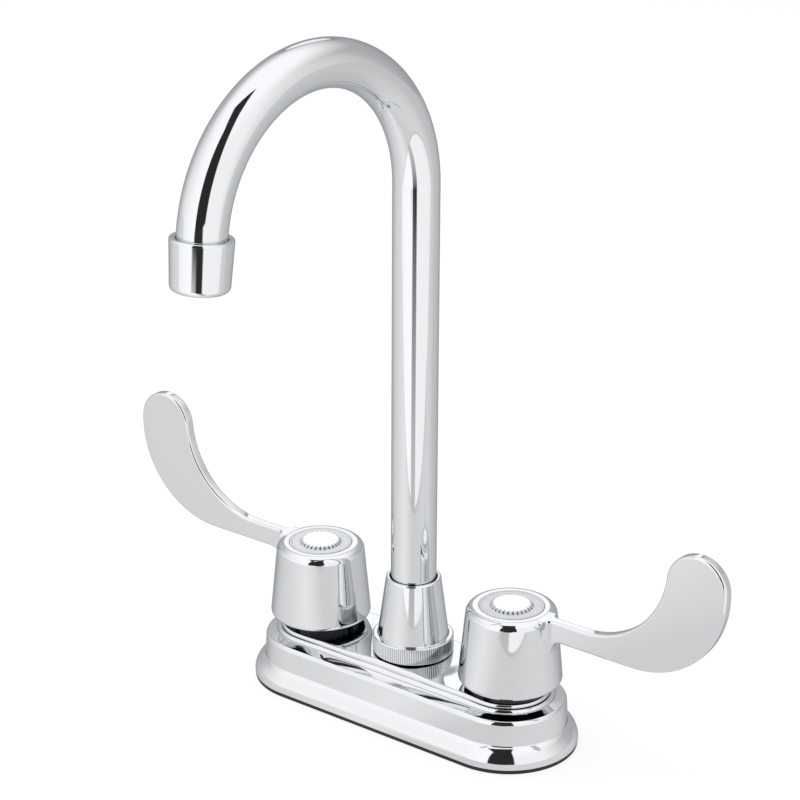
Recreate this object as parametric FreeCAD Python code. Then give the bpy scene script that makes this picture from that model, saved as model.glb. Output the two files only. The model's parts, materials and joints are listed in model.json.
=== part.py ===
import FreeCAD, Part
import math
import os

# Gooseneck bar faucet for two deck holes. Millimetres, +Z up, the user at -Y.
# The origin is on the sink deck, midway between the two valves, under the spout.

# ---- driving sizes ----

# layout
valve_spacing = 101.6
spout_rest_angle = -4.3
deck_thickness = 16.0

# base cover, an obround with stepped sides
base_end_inset = 1.4
base_foot_radius = 30.4
base_wall_radius = 25.8
base_shoulder_radius = 25.2
base_bead_radius = 20.35
base_plateau_radius = 18.6
base_height = 26.0
base_bead_top = 24.5
base_ledge_start = 22.5
base_ledge_slope = 15.0
base_wall_top = 21.6
base_flare_top = 10.4
base_foot_height = 3.0
base_flare_step = 0.5
base_flare_bulge = 0.7
base_edge_round = 1.3
base_bead_round = 1.75
shoulder_round = 2.2
base_pad_radius = 17.1
base_pad_height = 1.2
cover_wall = 2.2
gasket_thickness = 1.8
gasket_inset = 0.2
gasket_band = 5.0

# gooseneck
tube_radius = 9.7
tube_wall = 1.2
bend_radius = 59.6
bend_centre_height = 235.2
bend_angle = 175.0

# spout nut
nut_radius = 17.4
nut_band_height = 7.4
nut_chamfer = 0.6
nut_gap = 0.4
cone_bottom_radius = 15.25
cone_top_radius = 11.7
cone_top_height = 61.9
cone_lip_round = 0.6
knurl_count = 72
knurl_depth = 0.35

# spout hub and the fitting that turns in it
hub_body_radius = 13.0
hub_neck_radius = 12.0
hub_neck_rise = 8.2
hub_floor = 2.0
hub_floor_drop = 3.0
fitting_nose_radius = 9.3
fitting_nose_length = 14.0
fitting_flange_radius = 11.3
fitting_flange_height = 2.6
fitting_spigot_length = 8.0
fitting_bore = 6.4
slip_washer_height = 1.2
spout_ring_cord = 0.8
spout_ring_pitch = 6.0

# valve bodies, shanks and crossover tubes
body_radius = 14.5
body_neck_radius = 12.6
body_neck_rise = 7.5
body_bottom = 2.6
body_floor = 8.0
body_bore = 9.7
seat_hole = 5.0
gallery_depth = 1.6
gallery_height = 9.0
shank_radius = 10.45
shank_bore = 7.4
shank_socket = 3.8
shank_length = 52.0
shank_end_chamfer = 1.0
supply_thread_length = 19.5
relief_depth = 0.9
relief_width = 1.6
crossover_radius = 4.8
crossover_bore = 3.8
crossover_socket = 2.4
lock_ring_radius = 16.4
lock_ring_height = 3.0
lock_notch_width = 3.0
lock_notch_count = 4

# cartridges
seal_thickness = 2.0
disc_thickness = 3.0
disc_radius = 8.0
disc_port = 3.4
disc_port_inset = 1.2
disc_rim = 1.0
sleeve_wall = 1.3
driver_radius = 7.4
driver_height = 3.0
hex_across_flats = 22.0
hex_height = 4.8
stem_radius = 4.4
spline_radius = 3.9
spline_count = 20
spline_depth = 0.35
spline_length = 9.0
stem_ring_cord = 0.65
stem_ring_pitch = 4.0
groove_room = 1.25
clip_radius = 6.2
clip_height = 0.9
clip_depth = 0.6
clip_mouth = 0.7
window_width = 8.0

# handles
handle_bottom = 29.4
handle_top = 63.2
handle_bottom_radius = 22.1
handle_top_radius = 18.85
handle_wall = 3.2
handle_bottom_round = 2.4
handle_top_round = 3.0
boss_radius = 7.4
boss_bottom = 43.4
web_bottom = 52.4
web_top = 55.6
button_ledge = 59.0
screw_recess_radius = 9.0
button_radius = 13.6
button_rim_height = 3.6
button_dome_radius = 8.8
button_dome_rise = 0.9
insert_thickness = 0.9
screw_radius = 2.4
screw_head_radius = 4.3
screw_head_height = 2.4
screw_length = 9.0
screw_shank_gap = 0.15
screw_head_round = 1.0
screw_slot_length = 5.0
screw_slot_width = 1.1
screw_slot_depth = 1.4
screw_end_room = 1.0
handle_travel = 90.0

# wrist blades, in the vertical plane through each handle's axis
blade_thickness = 4.8
blade_edge_round = 1.3
blade_reach = 101.5
blade_tip_height = 111.3
blade_tip_radius = 13.6
blade_neck_bottom = 54.0
blade_neck_end = 60.0
blade_inner_radius = 39.0
blade_root_reach = 15.6

# outlet
aerator_radius = 12.3
aerator_foot_radius = 11.5
aerator_length = 19.4
aerator_top_round = 1.1
aerator_foot_round = 1.6
aerator_mouth_radius = 9.0
aerator_lip = 1.2
outlet_thread_radius = 10.9
outlet_thread_length = 6.6
outlet_spigot_length = 3.5
outlet_spigot_gap = 0.15
outlet_washer_thickness = 1.6
screen_thickness = 0.5
insert_hole_ring = 5.6
insert_hole_radius = 0.9
insert_inner_ring = 2.5
insert_inner_radius = 0.8
insert_hole_count = 12
insert_floor = 3.0
insert_wall = 1.0
aerator_seat = 0.6

# under the deck
mounting_washer_radius = 19.0
mounting_washer_thickness = 1.8
mounting_nut_radius = 15.5
mounting_nut_height = 11.0
mounting_wing_span = 25.0
mounting_wing_width = 5.0
mounting_wing_count = 4
mounting_wing_drop = 2.0

# clearances
running_gap = 0.05
seat_gap = 0.1
hole_gap = 0.3
tube_gap = 0.5
thread_gap = 0.1

# ---- heights and places that follow from them ----

valve_x = valve_spacing / 2
base_half_straight = valve_x - base_end_inset
cover_ceiling = base_height - cover_wall
body_top = base_height + body_neck_rise
hub_top = base_height + hub_neck_rise
pad_top = base_height + base_pad_height
nut_bottom = pad_top + nut_gap
nut_band_top = nut_bottom + nut_band_height
flange_bottom = hub_top + seat_gap
flange_top = flange_bottom + fitting_flange_height
nut_shoulder = flange_top + seat_gap + slip_washer_height
nut_bore = tube_radius + tube_gap
nut_thread_bore = hub_neck_radius + thread_gap
hub_bore = fitting_nose_radius + running_gap
nose_bottom = flange_bottom - fitting_nose_length
tube_bore = tube_radius - tube_wall
gallery_bottom = body_floor + seal_thickness + disc_thickness
crossover_height = gallery_bottom + gallery_height / 2
fixed_disc_bottom = body_floor + seal_thickness
moving_disc_bottom = fixed_disc_bottom + disc_thickness + running_gap
driver_bottom = moving_disc_bottom + disc_thickness
driver_top = driver_bottom + driver_height
chamber_top = driver_top + seat_gap
cartridge_radius = body_bore - running_gap
hex_top = body_top + hex_height
stem_top = web_bottom - seat_gap
stem_bore = stem_radius + running_gap
clip_bottom = hex_top + seat_gap
insert_bottom = button_ledge
button_bottom = insert_bottom + insert_thickness
washer_top = -deck_thickness
mounting_nut_top = washer_top - mounting_washer_thickness
mounting_nut_bottom = mounting_nut_top - mounting_nut_height
shank_bottom = -shank_length
relief_bottom = shank_bottom + supply_thread_length
shank_top = body_bottom + shank_socket

up = FreeCAD.Vector(0, 0, 1)
origin = FreeCAD.Vector(0, 0, 0)


# ---- helpers ----


def point(r, z):
    return FreeCAD.Vector(r, 0, z)


def line(start, end):
    return Part.LineSegment(start, end).toShape()


def rod(radius, bottom, top, x=0.0, y=0.0):
    return Part.makeCylinder(radius, top - bottom, FreeCAD.Vector(x, y, bottom))


def ring(outer, inner, bottom, top):
    return rod(outer, bottom, top).cut(rod(inner, bottom, top))


def tapered(bottom_radius, top_radius, bottom, top):
    return Part.makeCone(bottom_radius, top_radius, top - bottom, FreeCAD.Vector(0, 0, bottom))


def torus(radius, cord, height):
    return Part.makeTorus(radius, cord, FreeCAD.Vector(0, 0, height))


def circle_edges(solid, radius, height):
    """The round edges of this radius at this height, about any vertical axis."""
    found = []
    for edge in solid.Edges:
        curve = edge.Curve
        if not isinstance(curve, Part.Circle):
            continue
        if abs(curve.Radius - radius) < 1e-4 and abs(curve.Center.z - height) < 1e-4:
            found.append(edge)
    return found


def rounded(solid, size, radius, height):
    return solid.makeFillet(size, circle_edges(solid, radius, height))


def prism(sides, across_flats, bottom, top):
    corner_radius = across_flats / 2 / math.cos(math.pi / sides)
    corners = []
    for i in range(sides + 1):
        angle = 2 * math.pi * i / sides
        x = corner_radius * math.cos(angle)
        y = corner_radius * math.sin(angle)
        corners.append(FreeCAD.Vector(x, y, bottom))
    return Part.Face(Part.makePolygon(corners)).extrude(FreeCAD.Vector(0, 0, top - bottom))


def around(solid, count, start=0.0):
    """Copies of the solid, evenly turned about the Z axis."""
    copies = []
    for i in range(count):
        copy = solid.copy()
        copy.rotate(origin, up, start + 360.0 * i / count)
        copies.append(copy)
    return copies


def obround(radius, bottom, top, half_straight):
    ends = [rod(radius, bottom, top, side * half_straight) for side in (-1, 1)]
    corner = FreeCAD.Vector(-half_straight, -radius, bottom)
    middle = Part.makeBox(2 * half_straight, 2 * radius, top - bottom, corner)
    return middle.fuse(ends).removeSplitter()


def obround_from(edges, half_straight):
    """An obround solid whose side has this outline, given as edges from the axis out and back to it."""
    face = Part.Face(Part.Wire(edges))
    pieces = []
    for side in (-1, 1):
        end = face.copy()
        end.rotate(origin, up, -90.0 * side)
        end = end.revolve(origin, up, 180.0)
        end.translate(FreeCAD.Vector(side * half_straight, 0, 0))
        pieces.append(end)
        flat = face.copy()
        flat.rotate(origin, up, 90.0 * side)
        flat.translate(FreeCAD.Vector(-half_straight, 0, 0))
        pieces.append(flat.extrude(FreeCAD.Vector(2 * half_straight, 0, 0)))
    return pieces[0].fuse(pieces[1:]).removeSplitter()


def placed(solid, x):
    copy = solid.copy()
    copy.translate(FreeCAD.Vector(x, 0, 0))
    return copy


def side_name(side):
    return "left" if side < 0 else "right"


def save(name, shape):
    shape.exportStep("parts/" + name + ".step")


def save_pair(name, shape):
    """The same piece at both valves. The left one is the right one turned half round."""
    save(name + "_right", placed(shape, valve_x))
    turned = shape.copy()
    turned.rotate(origin, up, 180.0)
    save(name + "_left", placed(turned, -valve_x))


# ---- base ----


def on_corner(radius, top, size, angle):
    """The point at this angle above level on the arc that rounds the corner at this radius and height."""
    centre = point(radius - size, top - size)
    return centre + point(math.cos(math.radians(angle)), math.sin(math.radians(angle))) * size


def round_corner(radius, top, size, start=90.0):
    """The arc that rounds a corner, from the start angle above level down to the upright side."""
    corner = [on_corner(radius, top, size, angle) for angle in (start, start / 2, 0.0)]
    return Part.Arc(*corner).toShape()


def cover_outline():
    """The cover's outer side, from the axis at the top, down the steps and the flared foot, and back."""
    plateau_end = on_corner(base_plateau_radius, base_height, base_edge_round, 90.0)
    plateau_foot = on_corner(base_plateau_radius, base_height, base_edge_round, 0.0)
    bead_end = on_corner(base_bead_radius, base_bead_top, base_bead_round, 90.0)
    bead_foot = on_corner(base_bead_radius, base_bead_top, base_bead_round, 0.0)
    ledge_start = point(base_bead_radius, base_ledge_start)
    slope_angle = 90.0 - base_ledge_slope
    ledge_end = on_corner(base_shoulder_radius, base_wall_top, shoulder_round, slope_angle)
    shoulder_end = on_corner(base_shoulder_radius, base_wall_top, shoulder_round, 0.0)
    wall_foot = point(base_wall_radius, base_flare_top)
    flare_start = wall_foot + point(base_flare_step, -base_flare_step)
    flare_end = point(base_foot_radius, base_foot_height)
    outward = point(flare_start.z - flare_end.z, flare_end.x - flare_start.x)
    bulge = outward * (base_flare_bulge / outward.Length)
    foot = point(base_foot_radius, gasket_thickness)
    return [
        line(point(0, gasket_thickness), point(0, base_height)),
        line(point(0, base_height), plateau_end),
        round_corner(base_plateau_radius, base_height, base_edge_round),
        line(plateau_foot, bead_end),
        round_corner(base_bead_radius, base_bead_top, base_bead_round),
        line(bead_foot, ledge_start),
        line(ledge_start, ledge_end),
        round_corner(base_shoulder_radius, base_wall_top, shoulder_round, slope_angle),
        line(shoulder_end, wall_foot),
        line(wall_foot, flare_start),
        Part.Arc(flare_start, (flare_start + flare_end) * 0.5 + bulge, flare_end).toShape(),
        line(flare_end, foot),
        line(foot, point(0, gasket_thickness)),
    ]


def make_base_cover():
    """The chromed cover: a hollow obround with a flared foot, stepped sides and a round pad for the nut."""
    cover = obround_from(cover_outline(), base_half_straight)
    step = base_flare_top - gasket_thickness
    hollows = (
        (base_foot_radius - 2 * cover_wall, gasket_thickness + step / 3),
        (base_shoulder_radius - cover_wall, base_wall_top - cover_wall),
        (base_bead_radius - cover_wall, base_bead_top - cover_wall),
        (base_plateau_radius - cover_wall, cover_ceiling),
    )
    for radius, top in hollows:
        cover = cover.cut(obround(radius, gasket_thickness, top, base_half_straight))
    cover = cover.fuse(rod(base_pad_radius, cover_ceiling, pad_top)).removeSplitter()
    for side in (-1, 1):
        cover = cover.cut(rod(body_neck_radius + hole_gap, 0, base_height, side * valve_x))
    return cover.cut(rod(hub_neck_radius + hole_gap, 0, pad_top))


def make_deck_gasket():
    outer = base_foot_radius - gasket_inset
    gasket = obround(outer, 0, gasket_thickness, base_half_straight)
    return gasket.cut(obround(outer - gasket_band, 0, gasket_thickness, base_half_straight))


# ---- valve bodies and what they stand on, about their own axis ----


def make_valve_body():
    """The brass body under each handle, with a port towards -X for the crossover tube."""
    body = rod(body_radius, body_bottom, cover_ceiling).fuse(rod(body_neck_radius, body_bottom, body_top))
    body = body.removeSplitter()
    body = body.cut(rod(body_bore, body_floor, body_top))
    body = body.cut(rod(body_bore + gallery_depth, gallery_bottom, gallery_bottom + gallery_height))
    body = body.cut(rod(seat_hole, body_bottom, body_floor))
    body = body.cut(rod(shank_radius + running_gap, body_bottom, shank_top))
    way = FreeCAD.Vector(-1, 0, 0)
    port = Part.makeCylinder(crossover_bore, body_radius, FreeCAD.Vector(0, 0, crossover_height), way)
    socket_start = FreeCAD.Vector(crossover_socket - body_radius, 0, crossover_height)
    socket = Part.makeCylinder(crossover_radius + running_gap, body_radius, socket_start, way)
    return body.cut(port).cut(socket)


def make_inlet_shank():
    """The threaded brass tail, relieved between the mounting thread and the supply thread."""
    shank = rod(shank_radius, shank_bottom, shank_top)
    end_edges = circle_edges(shank, shank_radius, shank_bottom)
    shank = shank.makeChamfer(shank_end_chamfer, end_edges)
    shank = shank.cut(
        ring(shank_radius + 1, shank_radius - relief_depth, relief_bottom, relief_bottom + relief_width)
    )
    return shank.cut(rod(shank_bore, shank_bottom, shank_top))


def make_crossover_tube():
    """The copper tube from the right valve body to the spout hub, in place."""
    start = hub_body_radius - crossover_socket + seat_gap
    end = valve_x - body_radius + crossover_socket - seat_gap
    base = FreeCAD.Vector(start, 0, crossover_height)
    way = FreeCAD.Vector(1, 0, 0)
    tube = Part.makeCylinder(crossover_radius, end - start, base, way)
    return tube.cut(Part.makeCylinder(crossover_bore, end - start, base, way))


def make_lock_ring():
    """The ring nut that clamps the cover on the valve body, with four spanner notches."""
    bottom = base_height
    top = bottom + lock_ring_height
    nut = ring(lock_ring_radius, body_neck_radius + thread_gap, bottom, top)
    depth = (lock_ring_radius - body_neck_radius) / 2
    corner = FreeCAD.Vector(lock_ring_radius - depth, -lock_notch_width / 2, bottom)
    notch = Part.makeBox(2 * depth, lock_notch_width, lock_ring_height, corner)
    return nut.cut(around(notch, lock_notch_count))


def make_mounting_washer():
    return ring(mounting_washer_radius, shank_radius + hole_gap, mounting_nut_top, washer_top)


def make_mounting_nut():
    """A moulded nut with finger wings, run up under the deck."""
    nut = rod(mounting_nut_radius, mounting_nut_bottom, mounting_nut_top)
    wing_corner = FreeCAD.Vector(0, -mounting_wing_width / 2, mounting_nut_bottom)
    wing_height = mounting_nut_height - mounting_wing_drop
    wing = Part.makeBox(mounting_wing_span, mounting_wing_width, wing_height, wing_corner)
    nut = nut.fuse(around(wing, mounting_wing_count, 45.0)).removeSplitter()
    return nut.cut(rod(shank_radius + thread_gap, mounting_nut_bottom, mounting_nut_top))


# ---- cartridge ----


def make_cartridge_housing():
    """The brass housing: a hexagon head on the body's rim, a stem guide, and a sleeve round the discs."""
    housing = rod(cartridge_radius, body_floor + seal_thickness / 2, body_top)
    housing = housing.fuse(prism(6, hex_across_flats, body_top, hex_top)).removeSplitter()
    housing = housing.cut(rod(cartridge_radius - sleeve_wall, body_floor, chamber_top))
    housing = housing.cut(rod(stem_bore, chamber_top, hex_top))
    window_height = driver_bottom - gallery_bottom + driver_height - seat_gap
    corner = FreeCAD.Vector(0, -window_width / 2, driver_bottom)
    window = Part.makeBox(2 * cartridge_radius, window_width, window_height - disc_thickness, corner)
    return housing.cut(around(window, 2))


def disc_with_ports(bottom):
    """A ceramic disc with two opposite ports, turned a quarter when the valve is shut."""
    disc = rod(disc_radius, bottom, bottom + disc_thickness)
    port = rod(disc_port, bottom, bottom + disc_thickness, 0, disc_radius - disc_port - disc_rim)
    slim_corner = FreeCAD.Vector(-disc_radius, disc_port_inset, bottom)
    slim = Part.makeBox(2 * disc_radius, disc_radius, disc_thickness, slim_corner)
    return disc.cut(around(port.common(slim), 2))


def make_fixed_disc():
    disc = disc_with_ports(fixed_disc_bottom)
    disc.rotate(origin, up, 90.0)
    return disc


def make_moving_disc():
    return disc_with_ports(moving_disc_bottom)


def make_seat_seal():
    return ring(disc_radius, seat_hole, body_floor, body_floor + seal_thickness)


def stem_ring_heights():
    middle = (chamber_top + hex_top) / 2
    return (middle - stem_ring_pitch / 2, middle + stem_ring_pitch / 2)


def make_stem():
    """The stem: a driver plate on the moving disc, a guided shaft and a splined end."""
    shaft_top = stem_top - spline_length
    stem = rod(driver_radius, driver_bottom, driver_top)
    flat = Part.makeBox(4 * driver_radius, driver_radius, driver_height, FreeCAD.Vector(0, 0, driver_bottom))
    flat.translate(FreeCAD.Vector(-2 * driver_radius, stem_radius, 0))
    stem = stem.cut(around(flat, 2))
    stem = stem.fuse(rod(stem_radius, driver_bottom, shaft_top))
    stem = stem.fuse(rod(spline_radius, shaft_top, stem_top)).removeSplitter()
    for height in stem_ring_heights():
        half_width = groove_room * stem_ring_cord
        floor = stem_radius - 2 * stem_ring_cord
        stem = stem.cut(ring(stem_radius + 1, floor, height - half_width, height + half_width))
    stem = stem.cut(ring(stem_radius + 1, stem_radius - clip_depth, clip_bottom, clip_bottom + clip_height))
    tooth_gap = prism(3, 2 * spline_depth, shaft_top, stem_top)
    tooth_gap.translate(FreeCAD.Vector(spline_radius, 0, 0))
    tooth_gap.rotate(FreeCAD.Vector(spline_radius, 0, 0), up, 180.0)
    stem = stem.cut(around(tooth_gap, spline_count))
    return stem.cut(rod(screw_radius, web_top - screw_length - screw_end_room, stem_top))


def make_stem_rings():
    middle_radius = stem_radius - stem_ring_cord
    rings = [torus(middle_radius, stem_ring_cord, height) for height in stem_ring_heights()]
    return Part.makeCompound(rings)


def make_stem_clip():
    """A spring clip that stops the stem from dropping through the housing."""
    clip = ring(clip_radius, stem_radius - clip_depth, clip_bottom, clip_bottom + clip_height)
    mouth_width = 2 * clip_mouth * stem_radius
    mouth_corner = FreeCAD.Vector(0, -mouth_width / 2, clip_bottom)
    return clip.cut(Part.makeBox(2 * clip_radius, mouth_width, clip_height, mouth_corner))


# ---- handle ----


def unit(start, end):
    step = end - start
    return step * (1.0 / step.Length)


def blade_outline():
    """Neck, inner curve, round tip and outer curve of the blade, joined tangent to tangent."""
    root_top = point(blade_root_reach, handle_top)
    root_bottom = point(blade_root_reach, blade_neck_bottom)
    tip = point(blade_reach - blade_tip_radius, blade_tip_height - blade_tip_radius)
    # the inner curve touches the neck's top line and the tip's circle
    inner_rise = handle_top + blade_inner_radius - tip.z
    inner_run = math.sqrt((blade_inner_radius + blade_tip_radius) ** 2 - inner_rise**2)
    inner = point(tip.x - inner_run, handle_top + blade_inner_radius)
    inner_start = point(inner.x, handle_top)
    inner_end = inner + unit(inner, tip) * blade_inner_radius
    middle_angle = (math.atan2(inner_end.z - inner.z, inner_end.x - inner.x) - math.pi / 2) / 2
    inner_middle = inner + point(math.cos(middle_angle), math.sin(middle_angle)) * blade_inner_radius
    # the outer curve touches the neck's bottom line and holds the tip's circle
    run = tip.x - blade_neck_end
    rise = tip.z - blade_neck_bottom
    outer_radius = (run**2 + rise**2 - blade_tip_radius**2) / (2 * (rise - blade_tip_radius))
    outer = point(blade_neck_end, blade_neck_bottom + outer_radius)
    outer_end = tip + unit(outer, tip) * blade_tip_radius
    outer_start = point(blade_neck_end, blade_neck_bottom)
    outer_angle = (math.atan2(outer_end.z - outer.z, outer_end.x - outer.x) - math.pi / 2) / 2
    outer_middle = outer + point(math.cos(outer_angle), math.sin(outer_angle)) * outer_radius
    return [
        line(root_bottom, root_top),
        line(root_top, inner_start),
        Part.Arc(inner_start, inner_middle, inner_end).toShape(),
        Part.Arc(inner_end, tip + point(0, blade_tip_radius), outer_end).toShape(),
        Part.Arc(outer_end, outer_middle, outer_start).toShape(),
        line(outer_start, root_bottom),
    ]


def make_blade():
    """The wrist blade: its outline given a thickness, with rounded edges."""
    face = Part.Face(Part.Wire(blade_outline()))
    blade = face.extrude(FreeCAD.Vector(0, blade_thickness, 0))
    blade.translate(FreeCAD.Vector(0, -blade_thickness / 2, 0))
    long_edges = []
    for edge in blade.Edges:
        box = edge.BoundBox
        on_a_face = box.YLength < 1e-6
        at_the_root = box.XMax < blade_root_reach + 1e-6
        if on_a_face and not at_the_root:
            long_edges.append(edge)
    return blade.makeFillet(blade_edge_round, long_edges)


def make_handle():
    """One casting: a tapered hollow hub, a splined socket under its web, and the wrist blade."""
    hub = tapered(handle_bottom_radius, handle_top_radius, handle_bottom, handle_top)
    hub = rounded(hub, handle_bottom_round, handle_bottom_radius, handle_bottom)
    hub = rounded(hub, handle_top_round, handle_top_radius, handle_top)
    handle = hub.fuse(make_blade())
    hollow = tapered(
        handle_bottom_radius - handle_wall,
        handle_top_radius - handle_wall,
        handle_bottom,
        web_bottom,
    )
    boss = rod(boss_radius, boss_bottom, web_bottom)
    handle = handle.cut(hollow.cut(boss))
    handle = handle.cut(rod(spline_radius + running_gap, boss_bottom, web_bottom))
    handle = handle.cut(rod(screw_radius + hole_gap, web_bottom, web_top))
    handle = handle.cut(rod(screw_recess_radius, web_top, button_ledge))
    return handle.cut(rod(button_radius + running_gap, button_ledge, handle_top + 1)).removeSplitter()


def make_index_button():
    """A clear button with a bevelled rim and a low dome, over its insert."""
    rim_top = button_bottom + button_rim_height
    button = rod(button_radius, button_bottom, rim_top)
    button = button.makeChamfer(0.8, circle_edges(button, button_radius, rim_top))
    sphere_radius = (button_dome_radius**2 + button_dome_rise**2) / (2 * button_dome_rise)
    ball = Part.makeSphere(sphere_radius, FreeCAD.Vector(0, 0, rim_top + button_dome_rise - sphere_radius))
    dome = ball.common(rod(button_dome_radius, rim_top - 0.5, rim_top + 2 * button_dome_rise))
    return button.fuse(dome).removeSplitter()


def make_index_insert():
    """The bright plate under the clear button."""
    return rod(button_radius - hole_gap, insert_bottom, button_bottom)


def make_handle_screw():
    """A pan-head screw with a cross recess, down through the web into the stem."""
    head_top = web_top + screw_head_height
    screw = rod(screw_radius - screw_shank_gap, web_top - screw_length, web_top)
    head = rounded(rod(screw_head_radius, web_top, head_top), screw_head_round, screw_head_radius, head_top)
    slot_corner = FreeCAD.Vector(-screw_slot_length / 2, -screw_slot_width / 2, head_top - screw_slot_depth)
    slot = Part.makeBox(screw_slot_length, screw_slot_width, screw_slot_depth, slot_corner)
    return screw.fuse(head).removeSplitter().cut(around(slot, 4))


# ---- spout hub and nut ----


def make_spout_hub():
    """The brass hub that joins the two crossover tubes and carries the spout."""
    bottom = crossover_height - crossover_radius - hub_floor_drop
    hub = rod(hub_body_radius, bottom, cover_ceiling).fuse(rod(hub_neck_radius, bottom, hub_top))
    hub = hub.removeSplitter()
    hub = hub.cut(rod(hub_bore, bottom + hub_floor, hub_top))
    for side in (-1, 1):
        way = FreeCAD.Vector(side, 0, 0)
        port_start = FreeCAD.Vector(0, 0, crossover_height)
        port = Part.makeCylinder(crossover_bore, hub_body_radius, port_start, way)
        socket_start = FreeCAD.Vector(side * (hub_body_radius - crossover_socket), 0, crossover_height)
        socket = Part.makeCylinder(crossover_radius + running_gap, hub_body_radius, socket_start, way)
        hub = hub.cut(port).cut(socket)
    return hub


def make_spout_nut():
    """The tapered chromed nut that holds the spout down, with a knurled band at its foot."""
    band = rod(nut_radius, nut_bottom, nut_band_top)
    band = band.makeChamfer(nut_chamfer, circle_edges(band, nut_radius, nut_band_top))
    groove = prism(4, knurl_depth * math.sqrt(2), nut_bottom, nut_band_top - nut_chamfer)
    groove.translate(FreeCAD.Vector(nut_radius, 0, 0))
    band = band.cut(around(groove, knurl_count))
    cone = tapered(cone_bottom_radius, cone_top_radius, nut_band_top, cone_top_height)
    cone = rounded(cone, cone_lip_round, cone_top_radius, cone_top_height)
    nut = band.fuse(cone).removeSplitter()
    nut = nut.cut(rod(nut_bore, nut_bottom, cone_top_height))
    return nut.cut(rod(nut_thread_bore, nut_bottom, nut_shoulder))


def make_slip_washer():
    return ring(fitting_flange_radius, nut_bore, flange_top + seat_gap, nut_shoulder)


# ---- spout, built facing -Y and then swung to its rest angle ----


def swung(shape):
    shape.rotate(origin, up, spout_rest_angle)
    return shape


def make_gooseneck_tube():
    """A straight riser and one round bend that points the outlet down."""
    straight = ring(tube_radius, tube_bore, flange_top, bend_centre_height)
    centre = FreeCAD.Vector(0, 0, bend_centre_height)
    section = Part.Face(
        [
            Part.Wire(Part.makeCircle(tube_radius, centre, up)),
            Part.Wire(Part.makeCircle(tube_bore, centre, up)),
        ]
    )
    bend_centre = FreeCAD.Vector(0, -bend_radius, bend_centre_height)
    bend = section.revolve(bend_centre, FreeCAD.Vector(1, 0, 0), bend_angle)
    return swung(straight.fuse(bend).removeSplitter())


def spout_ring_heights():
    middle = (nose_bottom + flange_bottom) / 2
    return (middle - spout_ring_pitch / 2, middle + spout_ring_pitch / 2)


def make_spout_fitting():
    """The brass end of the spout: a spigot in the tube, a flange under the nut, and a grooved nose."""
    fitting = rod(fitting_nose_radius, nose_bottom, flange_bottom)
    fitting = fitting.fuse(rod(fitting_flange_radius, flange_bottom, flange_top))
    spigot_top = flange_top + fitting_spigot_length
    fitting = fitting.fuse(rod(tube_bore - running_gap, flange_top, spigot_top)).removeSplitter()
    for height in spout_ring_heights():
        half_width = groove_room * spout_ring_cord
        floor = fitting_nose_radius - 2 * spout_ring_cord
        fitting = fitting.cut(ring(fitting_nose_radius + 1, floor, height - half_width, height + half_width))
    return swung(fitting.cut(rod(fitting_bore, nose_bottom, spigot_top)))


def make_spout_rings():
    middle_radius = fitting_nose_radius - spout_ring_cord
    rings = [torus(middle_radius, spout_ring_cord, height) for height in spout_ring_heights()]
    return Part.makeCompound(rings)


def at_outlet(shape):
    """Moves a piece from its own axis, flowing towards -Z from z = 0, to the end of the bend."""
    turn = math.radians(bend_angle)
    reach = bend_radius * (1 - math.cos(turn))
    height = bend_centre_height + bend_radius * math.sin(turn)
    shape.rotate(origin, FreeCAD.Vector(1, 0, 0), bend_angle - 180.0)
    shape.translate(FreeCAD.Vector(0, -reach, height))
    return swung(shape)


def make_outlet_bushing():
    """The threaded brass end of the tube that takes the aerator."""
    bushing = rod(tube_bore - outlet_spigot_gap, 0, outlet_spigot_length)
    bushing = bushing.fuse(rod(outlet_thread_radius, -outlet_thread_length, 0)).removeSplitter()
    bore = tube_bore - 2 * tube_wall
    return at_outlet(bushing.cut(rod(bore, -outlet_thread_length, outlet_spigot_length)))


def make_aerator_shell():
    """The chromed aerator body, round at the top, slightly tapered, open at both ends."""
    shell = tapered(aerator_foot_radius, aerator_radius, -aerator_length, aerator_top_round)
    shell = rounded(shell, aerator_top_round, aerator_radius, aerator_top_round)
    shell = rounded(shell, aerator_foot_round, aerator_foot_radius, -aerator_length)
    shell = shell.cut(rod(tube_radius + running_gap, 0, aerator_top_round))
    chamber = outlet_thread_radius + thread_gap
    lip_top = aerator_lip - aerator_length
    shell = shell.cut(rod(chamber, -outlet_thread_length - outlet_washer_thickness, 0))
    shell = shell.cut(rod(aerator_mouth_radius + aerator_seat, lip_top, -outlet_thread_length))
    return at_outlet(shell.cut(rod(aerator_mouth_radius, -aerator_length, 0)))


def make_outlet_washer():
    top = -outlet_thread_length
    bore = tube_bore - 2 * tube_wall
    return at_outlet(ring(outlet_thread_radius, bore, top - outlet_washer_thickness, top))


def make_aerator_insert():
    """The moulded flow straightener, a cup with a ring of holes in its floor."""
    top = -outlet_thread_length - outlet_washer_thickness
    bottom = aerator_lip - aerator_length + screen_thickness
    insert = rod(aerator_mouth_radius + aerator_seat - running_gap, bottom, top)
    insert = insert.cut(rod(aerator_mouth_radius - insert_wall, bottom + insert_floor, top))
    hole = rod(insert_hole_radius, bottom, bottom + insert_floor, insert_hole_ring)
    inner_hole = rod(insert_inner_radius, bottom, bottom + insert_floor, insert_inner_ring)
    insert = insert.cut(around(hole, insert_hole_count))
    return at_outlet(insert.cut(around(inner_hole, insert_hole_count // 2)))


def make_aerator_screen():
    bottom = aerator_lip - aerator_length
    radius = aerator_mouth_radius + aerator_seat - running_gap
    return at_outlet(rod(radius, bottom, bottom + screen_thickness))


# ---- write every piece ----


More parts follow.
